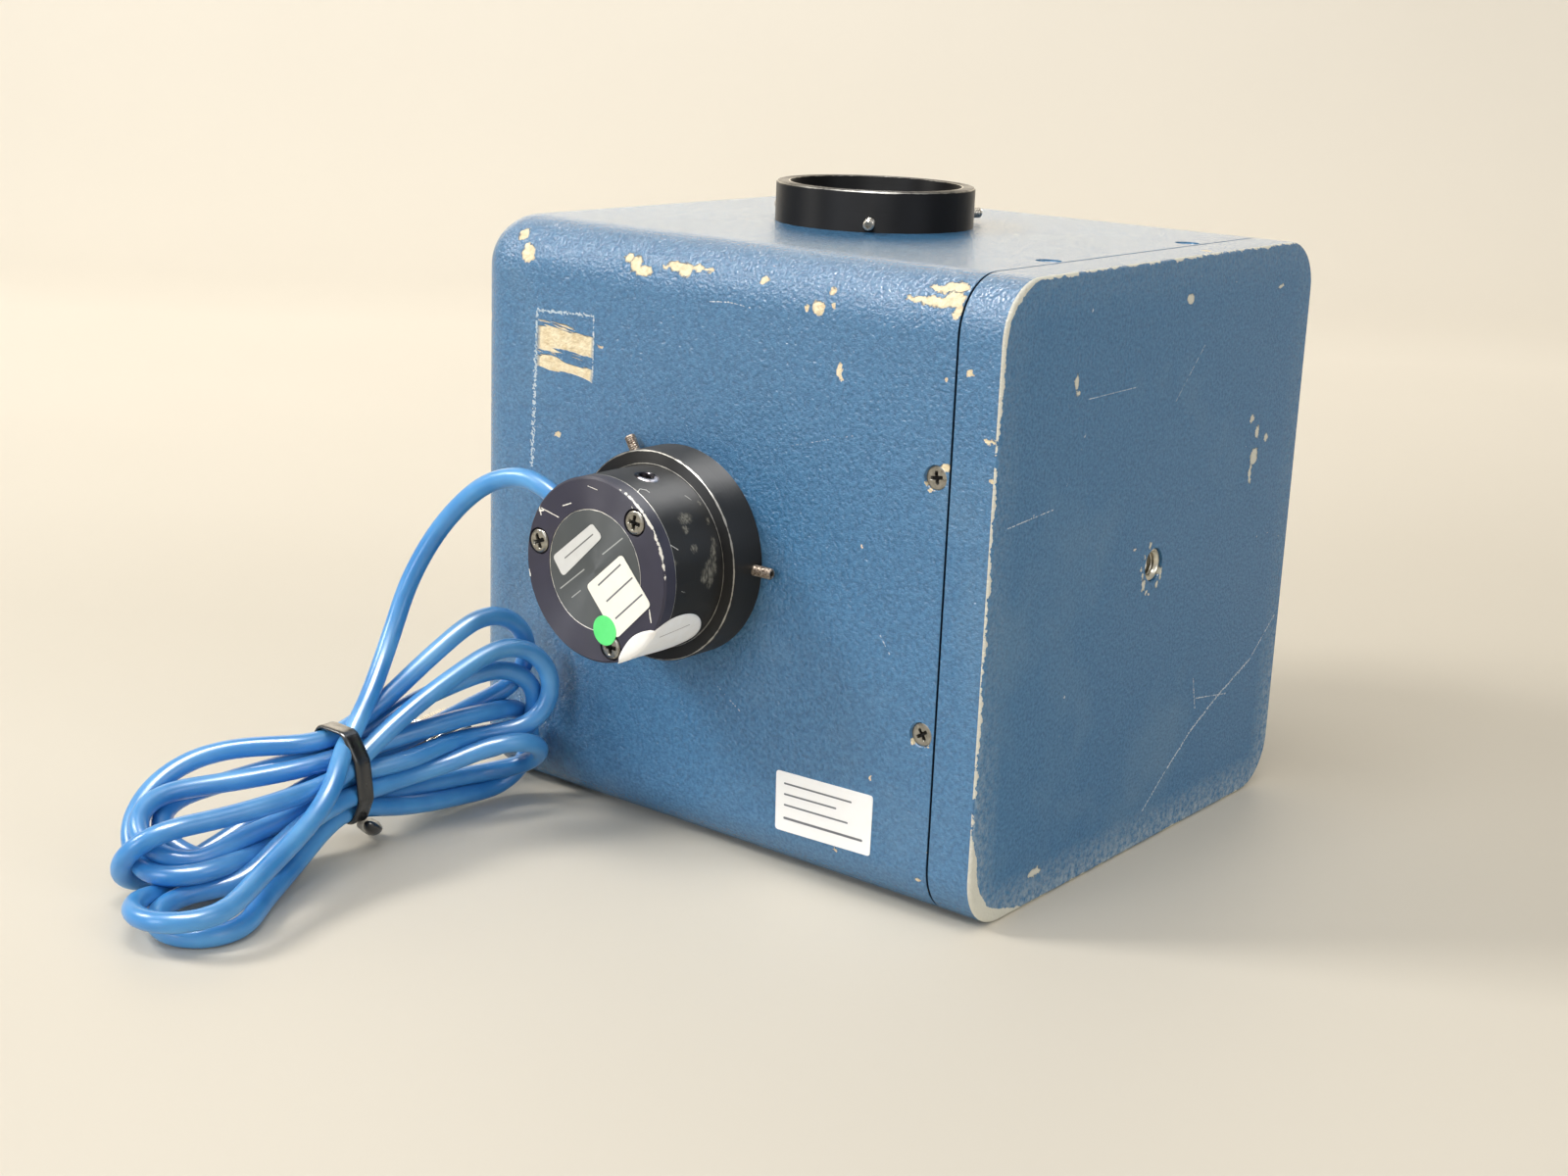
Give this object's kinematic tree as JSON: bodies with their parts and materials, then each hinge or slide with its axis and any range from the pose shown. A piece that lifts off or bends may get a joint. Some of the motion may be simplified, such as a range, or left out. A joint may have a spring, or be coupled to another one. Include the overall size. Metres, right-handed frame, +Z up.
{
  "type": "integrating sphere with photodiode detector head",
  "caption": "Painted box housing an integrating sphere, with collared ports on the front and top, and a clamped round photodiode head on a tied coaxial lead.",
  "frame": {"origin": "centre of the housing's footprint, on the surface it stands on", "axes": "+Z up, -Y out of the port that holds the detector head, +X towards the end cover with the threaded mounting hole; the second port opens along +Z"},
  "size_m": [0.1619, 0.2701, 0.153],
  "materials": {
    "blue_paint": "satin",
    "black_anodise": "satin",
    "white_coating": "matte",
    "zinc_steel": "satin",
    "set_screw_steel": "satin",
    "stainless_insert": "satin",
    "window_glass": "gloss",
    "photodiode_body": "gloss",
    "black_plastic": "satin",
    "circuit_board_green": "satin",
    "brass_spacer": "satin",
    "label_film": "satin",
    "blue_cable": "gloss",
    "plug_nickel": "polished",
    "plug_insulator_white": "satin",
    "gold_pin": "polished"
  },
  "bodies": {
    "housing": {"housing_body": "blue_paint", "end_cover": "blue_paint", "cover_screws": "zinc_steel", "thread_insert": "stainless_insert", "sphere_ported_half": "white_coating", "sphere_blank_half": "white_coating", "sphere_screws": "zinc_steel", "sphere_baffle": "white_coating", "front_collar": "black_anodise", "top_collar": "black_anodise"},
    "detector": {"detector_barrel": "black_anodise", "detector_back_plate": "black_anodise", "back_plate_screws": "zinc_steel", "face_label": "label_film", "detector_window": "window_glass", "photodiode": "photodiode_body", "diode_holder": "black_plastic", "circuit_board": "circuit_board_green", "board_spacers": "brass_spacer", "cable_gland": "black_plastic", "cable_lead": "blue_cable", "cable_hank": "blue_cable", "cable_tie": "black_plastic", "cable_tail": "blue_cable", "plug_boot": "black_plastic", "plug_body": "plug_nickel", "plug_insulator": "plug_insulator_white", "plug_pin": "gold_pin"},
    "front_set_screw_right": {"front_set_screw_right": "set_screw_steel"},
    "front_set_screw_upper": {"front_set_screw_upper": "set_screw_steel"},
    "front_set_screw_lower": {"front_set_screw_lower": "set_screw_steel"},
    "top_set_screw_front": {"top_set_screw_front": "set_screw_steel"},
    "top_set_screw_back": {"top_set_screw_back": "set_screw_steel"},
    "top_set_screw_left": {"top_set_screw_left": "set_screw_steel"},
    "plug_sleeve": {"plug_sleeve": "plug_nickel"}
  },
  "joints": [
    {"name": "detector_slide", "type": "slide", "parent": "housing", "child": "detector", "axis": [0, -1, 0], "range_m": [0, 0.016]},
    {"name": "front_set_screw_right_travel", "type": "slide", "parent": "housing", "child": "front_set_screw_right", "axis": [1, 0, 0], "range_m": [0, 0.002]},
    {"name": "front_set_screw_upper_travel", "type": "slide", "parent": "housing", "child": "front_set_screw_upper", "axis": [-0.5, 0, 0.866], "range_m": [0, 0.002]},
    {"name": "front_set_screw_lower_travel", "type": "slide", "parent": "housing", "child": "front_set_screw_lower", "axis": [-0.5, 0, -0.866], "range_m": [0, 0.002]},
    {"name": "top_set_screw_front_travel", "type": "slide", "parent": "housing", "child": "top_set_screw_front", "axis": [0.5519, -0.8339, 0], "range_m": [-0.006, 0.002]},
    {"name": "top_set_screw_back_travel", "type": "slide", "parent": "housing", "child": "top_set_screw_back", "axis": [0.4462, 0.8949, 0], "range_m": [-0.006, 0.002]},
    {"name": "top_set_screw_left_travel", "type": "slide", "parent": "housing", "child": "top_set_screw_left", "axis": [-0.9981, -0.061, 0], "range_m": [-0.006, 0.002]},
    {"name": "plug_sleeve_turn", "type": "hinge", "parent": "detector", "child": "plug_sleeve", "pos_m": [-0.07472, -0.0871, 0.01111], "axis": [-0.2423, 0.9691, -0.0454], "continuous": true}
  ]
}
